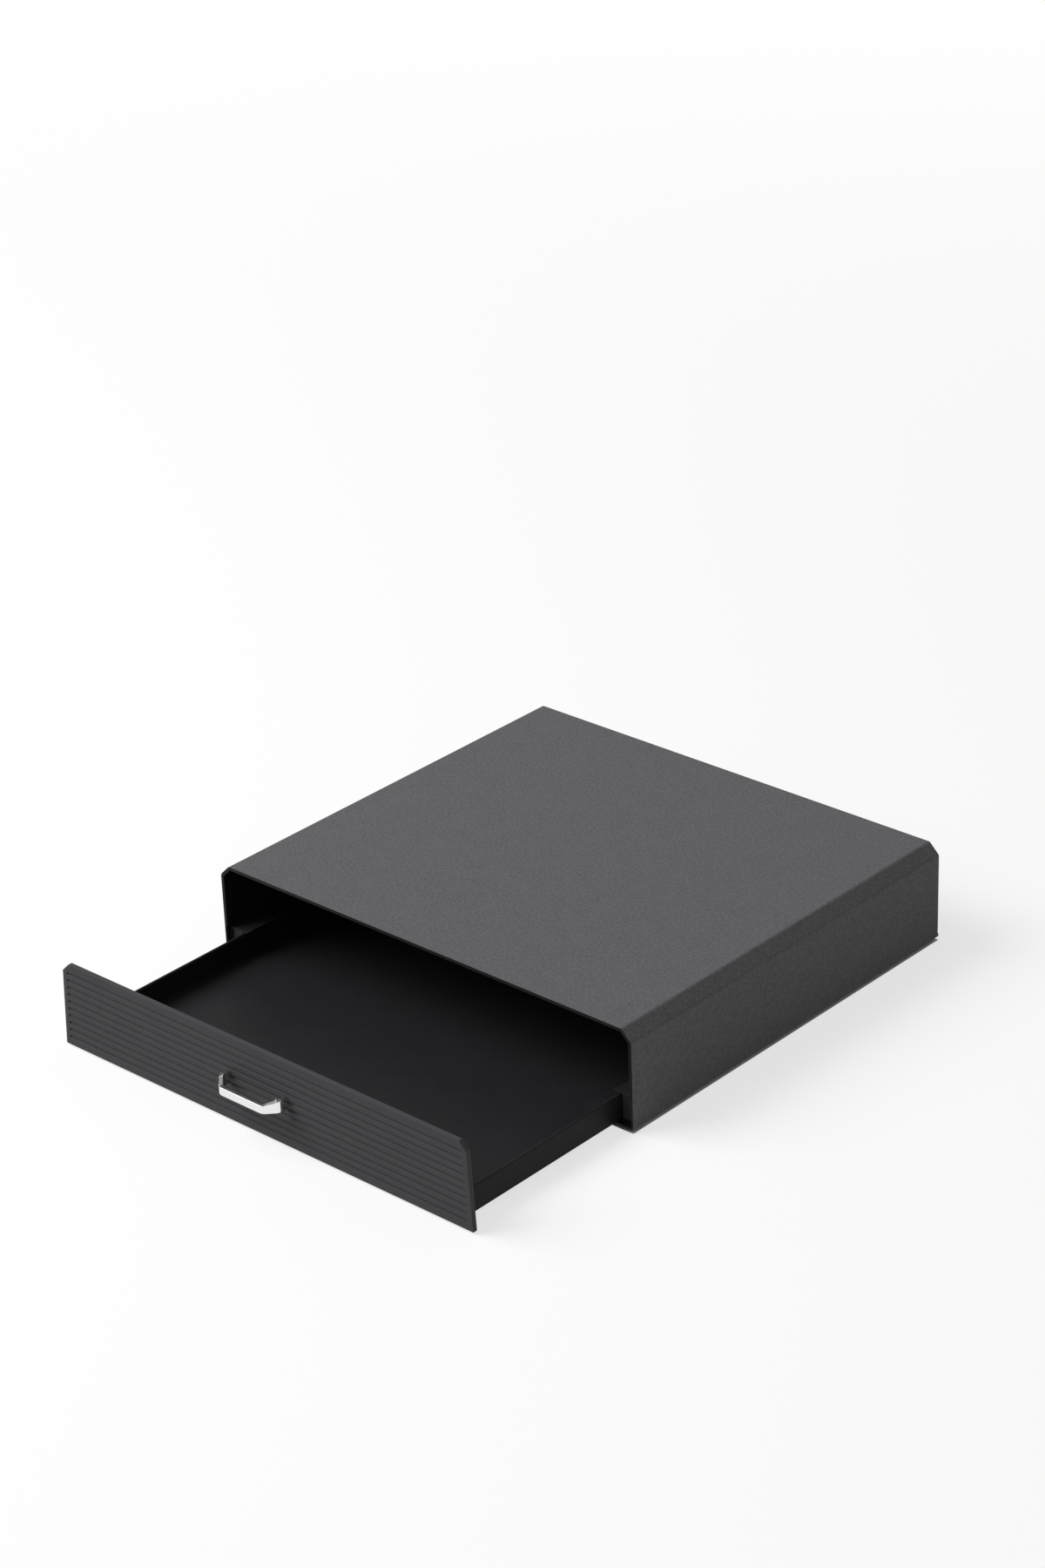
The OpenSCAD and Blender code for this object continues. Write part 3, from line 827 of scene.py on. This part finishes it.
def turned(profile, places, direction, steps, rounding):
    """The profile, as (radius, height) pairs, spun and set at each place along a direction."""
    bm = bmesh.new()
    points = [bm.verts.new((r, 0, h)) for r, h in profile]
    edges = [bm.edges.new(pair) for pair in zip(points, points[1:])]
    bmesh.ops.spin(
        bm, geom=points + edges, cent=(0, 0, 0), axis=(0, 0, 1), angle=2 * math.pi, steps=steps,
        use_merge=True,
    )
    tidy(bm)
    soften(bm, rounding, over=TURNED_EDGE_OVER)
    aim = Vector(direction).to_track_quat("Z", "Y").to_matrix().to_4x4()
    bmesh.ops.transform(bm, matrix=aim, verts=bm.verts)
    first = bm.verts[:] + bm.edges[:] + bm.faces[:]
    for place in places[1:]:
        copy = bmesh.ops.duplicate(bm, geom=first)["geom"]
        move(bm, copy, place)
    move(bm, first, places[0])
    return bm


# %% [markdown]
# ## The feet
#
# Four rubber feet carry the housing. The edge of the sole is cut back, so that it doesn't catch,
# and the sole is hollow but for a ring, so that it grips the worktop. A bevelled cylinder would do
# for the side but not for the sole, so a foot is turned. It takes its radius and its height from
# its own node.

# %% Feet
SOLE_EDGE = 0.5 * MM
SOLE_RING = 2 * MM
SOLE_HOLLOW = 0.4 * MM
FOOT_STEPS = 40
FOOT_ROUNDING = 0.15 * MM
for end in ("front", "back"):
    for side in ("left", "right"):
        node = f"foot_{end}_{side}"
        low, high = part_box(node)
        middle, radius, tall = (low + high) / 2, (high.x - low.x) / 2, high.z - low.z
        hollow = radius - SOLE_RING - SOLE_HOLLOW
        profile = [
            (0, tall), (radius, tall), (radius, SOLE_EDGE), (radius - SOLE_EDGE, 0),
            (radius - SOLE_RING, 0), (hollow, SOLE_HOLLOW), (0, SOLE_HOLLOW),
        ]
        places = [(middle.x, middle.y, low.z)]
        bm = turned(profile, places, (0, 0, 1), FOOT_STEPS, FOOT_ROUNDING)
        piece(bm, f"rubber_{node}", "housing", "rubber", RUBBER, node)

# %% [markdown]
# ## The bumpers
#
# Two rubber bumpers stop the closed drawer softly. Each is a push-in plug: a broad head inside, a
# stem through the back panel, and a barb behind it that keeps the plug in its hole. It lies on its
# side, so its profile is written standing on its nose, and is laid along the depth afterwards.

# %% Bumpers
BUMPER_HEAD = 6.5 * MM
BUMPER_NOSE = 1.5 * MM
STEM_RADIUS = 2.5 * MM
BARB_RADIUS = 4 * MM
BARB_TALL = 1 * MM
BARB_EDGE = 0.4 * MM
BARB_EDGE_TALL = 0.3 * MM
BUMPER_STEPS = 28
BUMPER_ROUNDING = 0.3 * MM
for side in ("left", "right"):
    node = f"rear_bumper_{side}"
    low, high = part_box(node)
    middle, radius, length = (low + high) / 2, (high.z - low.z) / 2, high.y - low.y
    profile = [
        (0, 0), (radius - BUMPER_NOSE, 0), (radius, BUMPER_NOSE), (radius, BUMPER_HEAD),
        (STEM_RADIUS, BUMPER_HEAD), (STEM_RADIUS, length - BARB_TALL),
        (BARB_RADIUS, length - BARB_TALL), (BARB_RADIUS, length - BARB_EDGE_TALL),
        (BARB_RADIUS - BARB_EDGE, length), (0, length),
    ]
    places = [(middle.x, low.y, middle.z)]
    bm = turned(profile, places, (0, 1, 0), BUMPER_STEPS, BUMPER_ROUNDING)
    piece(bm, f"rubber_{node}", "housing", "rubber", RUBBER, node)

# %% [markdown]
# ## Where the fasteners sit
#
# Rivets and screws repeat, and one node of the frame holds all of a kind. Their places could be
# copied out of the drawing, but then a changed size would leave them behind. So each node's loose
# parts are found by walking from vertex to vertex, and the box of each says where its head sits.

# %% Where a node's fasteners are
def loose_parts(node):
    """The box of each separate solid in a node, in the order of their places."""
    bm = bmesh.new()
    bm.from_mesh(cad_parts[node].data)
    bmesh.ops.remove_doubles(bm, verts=bm.verts, dist=SEAM)
    left, boxes = set(bm.verts), []
    while left:
        front, part = [left.pop()], []
        while front:
            v = front.pop()
            part.append(v.co.copy())
            near = [e.other_vert(v) for e in v.link_edges]
            front += [n for n in near if n in left]
            left.difference_update(near)
        boxes.append([Vector([pick(c[i] for c in part) for i in range(3)]) for pick in (min, max)])
    bm.free()
    return sorted(boxes, key=lambda box: tuple(box[0]))


def seats(node, direction, head_tall):
    """Where the heads of a node's fasteners sit, if they face this way."""
    aim = Vector(direction)
    return [
        (a + b) / 2 + aim * (abs((b - a).dot(aim)) / 2 - head_tall) for a, b in loose_parts(node)
    ]


# %% [markdown]
# ## The rivets
#
# Blind rivets hold the back panel and the runners. Outside, a blind rivet shows a low dome with the
# hole that its mandrel pulled through. Inside, its tail is drawn up into a bulb. A half sphere
# would pass for the dome from afar, but not for the rest, so all of it is on one profile, from the
# hole's floor over the dome and down the shank to the tail.

# %% Rivets
FASTENER_STEPS = 24
FASTENER_ROUNDING = 0.12 * MM
RIVET_TALL = 1 * MM
RIVET_HEAD = 3.2 * MM
RIVET_RIM = 0.15 * MM
MANDREL = 0.75 * MM
MANDREL_FLOOR = 0.35 * MM
DOME_FLAT = 1.5 * MM
DOME_SHOULDER = 2.6 * MM
DOME_SHOULDER_TALL = 0.7 * MM
SHANK = 1.6 * MM
SHANK_END = 2.3 * MM
BULB = 2.35 * MM
BULB_START = 2.5 * MM
BULB_FOOT = 2.3 * MM
BULB_END = 3.2 * MM
TAIL = 1.5 * MM
TAIL_END = 3.5 * MM
rivet_profile = [
    (0, MANDREL_FLOOR), (MANDREL, MANDREL_FLOOR), (MANDREL, RIVET_TALL), (DOME_FLAT, RIVET_TALL),
    (DOME_SHOULDER, DOME_SHOULDER_TALL), (RIVET_HEAD, RIVET_RIM), (RIVET_HEAD, 0),
    (SHANK, 0), (SHANK, -SHANK_END), (BULB, -BULB_START), (BULB_FOOT, -BULB_END),
    (TAIL, -TAIL_END), (0, -TAIL_END),
]
for name, node, direction in (
    ("lip_rivets", "back_panel_rivets", (0, 1, 0)),
    ("runner_rivets", "rail_rivets", (0, 0, -1)),
):
    places = seats(node, direction, RIVET_TALL)
    bm = turned(rivet_profile, places, direction, FASTENER_STEPS, FASTENER_ROUNDING)
    print(len(places), "rivets")
    piece(bm, name, "housing", "coated_rivet", RIVET, node)

# %% [markdown]
# ## The screws
#
# The screws have pan heads with a socket. Threads would never be seen, since each shank is buried
# in its hole, so a shank is plain and ends in a point. The six screws of the front face backwards,
# and those of the guides face down. The glides' screws face each other from the tray's two sides,
# so that node is made in two halves.

# %% A screw's profile
SCREW_TALL = 1.3 * MM
SCREW_SHANK = 1.45 * MM
SCREW_POINT = 0.8 * MM
# the rest are shares of the head's radius or height
SOCKET_FLOOR = 0.4
SOCKET = 0.42
SOCKET_MOUTH = 0.48
HEAD_FLAT = 0.72
HEAD_SHOULDER = 0.93
HEAD_SHOULDER_TALL = 0.7
HEAD_RIM = 0.25


def screw_profile(radius, length):
    """A pan head of this radius with a socket, and a shank with a point, head upwards."""
    return [
        (0, SOCKET_FLOOR * SCREW_TALL), (SOCKET * radius, SOCKET_FLOOR * SCREW_TALL),
        (SOCKET_MOUTH * radius, SCREW_TALL), (HEAD_FLAT * radius, SCREW_TALL),
        (HEAD_SHOULDER * radius, HEAD_SHOULDER_TALL * SCREW_TALL), (radius, HEAD_RIM * SCREW_TALL),
        (radius, 0), (SCREW_SHANK, 0), (SCREW_SHANK, SCREW_POINT - length), (0, -length),
    ]


# %% Screws
FRONT_SCREW = 2.7 * MM
FRONT_SCREW_HEAD = 4 * MM
GUIDE_SCREW = 9.2 * MM
GLIDE_SCREW = 7 * MM
SMALL_SCREW_HEAD = 3 * MM
for name, node, body, profile, direction in (
    ("front_screws", "drawer_front_screws", "drawer",
     screw_profile(FRONT_SCREW_HEAD, FRONT_SCREW), (0, 1, 0)),
    ("guide_fixings", "guide_screws", "housing",
     screw_profile(SMALL_SCREW_HEAD, GUIDE_SCREW), (0, 0, -1)),
):
    places = seats(node, direction, SCREW_TALL)
    bm = turned(profile, places, direction, FASTENER_STEPS, FASTENER_ROUNDING)
    piece(bm, name, body, "zinc_steel", ZINC, node)
profile = screw_profile(SMALL_SCREW_HEAD, GLIDE_SCREW)
bm = bmesh.new()
for side in (-1, 1):
    inwards = (-side, 0, 0)
    places = [p for p in seats("glide_screws", inwards, SCREW_TALL) if p.x * side > 0]
    join(bm, turned(profile, places, inwards, FASTENER_STEPS, FASTENER_ROUNDING))
piece(bm, "glide_fixings", "drawer", "zinc_steel", ZINC, "glide_screws")

# %% [markdown]
# ## Nylon guides and glides
#
# These are moulded blocks that keep the tray in the middle between the runners. A bare cube would
# look like a stand-in, so each has rounded edges, and its ends, its top and its bottom are dished a
# little, as a thick moulding sinks when it cools.

# %% Nylon blocks
DISH_SLOPE = 2.2 * MM
DISH_DEPTH = 0.8 * MM
BLOCK_EDGE = 0.7 * MM
BLOCK_EDGE_SEGMENTS = 3


def block(node, name, body):
    low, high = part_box(node)
    bm = bmesh.new()
    bmesh.ops.create_cube(bm, size=1)
    bmesh.ops.scale(bm, vec=high - low, verts=bm.verts)
    bmesh.ops.translate(bm, vec=(low + high) / 2, verts=bm.verts)
    ends = [f for f in bm.faces if abs(f.normal.z) > SQUARELY or abs(f.normal.y) > SQUARELY]
    bmesh.ops.inset_individual(bm, faces=ends, thickness=DISH_SLOPE, depth=-DISH_DEPTH)
    soften(bm, BLOCK_EDGE, BLOCK_EDGE_SEGMENTS)
    piece(bm, name, body, "nylon", NYLON, node)


for side in ("left", "right"):
    block(f"front_guide_{side}", f"nylon_guide_{side}", "housing")
    block(f"rear_glide_{side}", f"nylon_glide_{side}", "drawer")

# %% [markdown]
# ## What is seen directly
#
# The object stands on a plain white worktop in an even white room. What the camera or a reflection
# sees directly is white. What lights the object is much less: the room's light is held low, so that
# the sides stay darker than the top. Brighter lamps could make the background white as well, but
# they would bleach the object. The light path says which kind of ray asks, so one material can
# answer the two differently.

# %% Seen directly
def seen_directly(network):
    """1 for the camera's own rays and those that a gloss or a glass sends on, otherwise 0."""
    seen = network.node("ShaderNodeLightPath", output="Is Camera Ray")
    for kind in ("Is Glossy Ray", "Is Transmission Ray"):
        ray = network.node("ShaderNodeLightPath", output=kind)
        seen = network.node("ShaderNodeMath", {"operation": "MAXIMUM"}, {0: seen, 1: ray})
    return seen


# %% [markdown]
# ## The worktop
#
# The worktop is one large disc. Near the object it is part glow, for the camera only, and part a
# matt white on which the lamp draws the object's soft shadow. Further out it is all glow, so that
# its far edge doesn't show against the room. The housing has no floor, so the part of the worktop
# inside its walls can be seen behind the open drawer, and that part doesn't glow.

# %% Worktop
WORKTOP_RADIUS = 8
WORKTOP_SIDES = 64
WORKTOP_BOUNCE = 0.8
WORKTOP_SEEN = 0.95
WORKTOP_GLOW = 0.7
SHADOW_REACH = 0.5
FULLY_WHITE = 2.5
bm = bmesh.new()
bmesh.ops.create_circle(bm, cap_ends=True, segments=WORKTOP_SIDES, radius=WORKTOP_RADIUS)
mesh = bpy.data.meshes.new("worktop")
bm.to_mesh(mesh)
bm.free()
worktop = bpy.data.objects.new("worktop", mesh)
bpy.context.scene.collection.objects.link(worktop)
worktop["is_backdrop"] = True
print("a worktop", 2 * WORKTOP_RADIUS, "m across")

# %% The worktop's white
def between(network, place, axis, low, high):
    """1 where one coordinate of a place lies between two limits, otherwise 0.

    The Math node's Compare takes a value, a middle and how far from it the value may be.
    """
    value = network.node("ShaderNodeSeparateXYZ", None, {"Vector": place}, output=axis)
    return network.node(
        "ShaderNodeMath", {"operation": "COMPARE"},
        {0: value, 1: (low + high) / 2, 2: (high - low) / 2},
    )


white = bpy.data.materials.new("white_worktop")
white.use_nodes = True
mesh.materials.append(white)
top = Network(white.node_tree)
seen = seen_directly(top)
shade = top.blend(seen, (WORKTOP_BOUNCE,) * 3 + (1,), (WORKTOP_SEEN,) * 3 + (1,))
matt = top.node("ShaderNodeBsdfDiffuse", None, {"Color": shade})
glow = top.node("ShaderNodeEmission")
place = top.node("ShaderNodeTexCoord", output="Object")
distance = top.node("ShaderNodeVectorMath", {"operation": "LENGTH"}, {0: place}, output="Value")
share = top.node(
    "ShaderNodeMapRange", {"interpolation_type": "SMOOTHSTEP"},
    {
        "Value": distance, "From Min": SHADOW_REACH, "From Max": FULLY_WHITE,
        "To Min": WORKTOP_GLOW, "To Max": 1.0,
    },
)
covered = between(top, place, "X", -half, half) * between(top, place, "Y", front_y, back_y)
share = share * seen * (1 - covered)
mixed = top.node("ShaderNodeMixShader", None, {0: share, 1: matt, 2: glow})
top.feed(white.node_tree.nodes["Material Output"].inputs["Surface"], mixed)
print(white.name, "has", len(white.node_tree.nodes), "nodes")

# %% [markdown]
# ## The room
#
# The room is the world: white at full strength where it is seen, and a quarter of that where it
# lights the object. Walls and a ceiling would do the same with more work and more noise.

# %% Room
ROOM_LIGHT = 0.25
room = bpy.data.worlds.new("room")
bpy.context.scene.world = room
room.use_nodes = True
walls = Network(room.node_tree)
strength = ROOM_LIGHT + (1 - ROOM_LIGHT) * seen_directly(walls)
light = walls.node("ShaderNodeBackground", None, {"Color": (1, 1, 1, 1), "Strength": strength})
walls.feed(room.node_tree.nodes["World Output"].inputs["Surface"], light)
print("the room lights the object at", ROOM_LIGHT, "of its white")

# %% [markdown]
# ## The lamp
#
# One broad soft lamp, high and to the left in front, as the shadows of the handle's legs show. A
# point lamp would draw hard shadows. An area lamp's size sets how soft they are, and its distance
# how evenly it lights the top.

# %% Lamp
LAMP_POWER = 165
LAMP_SIZE = 2.6
LAMP_PLACE = Vector((-2.1, -1.7, 2.6))
lamp = bpy.data.lights.new("soft_lamp", "AREA")
lamp.shape = "SQUARE"
lamp.size = LAMP_SIZE
lamp.energy = LAMP_POWER
soft = bpy.data.objects.new("soft_lamp", lamp)
soft.location = LAMP_PLACE
soft.rotation_euler = (-LAMP_PLACE).to_track_quat("-Z", "Y").to_euler()
bpy.context.scene.collection.objects.link(soft)
bpy.context.scene.view_settings.view_transform = "Standard"
print("the lamp hangs", round(LAMP_PLACE.length, 2), "m from the object")

# %% [markdown]
# ## The size, before and after
#
# The looks must not change the object's size. The box of what is shown is measured, and how far
# it has grown beyond the frame's box is printed.

# %% Sizes and finish
shown_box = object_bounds()
grown = (shown_box[1] - shown_box[0]) - (cad_box[1] - cad_box[0])
print("grown by, in mm:", [round(c / MM, 2) for c in grown])
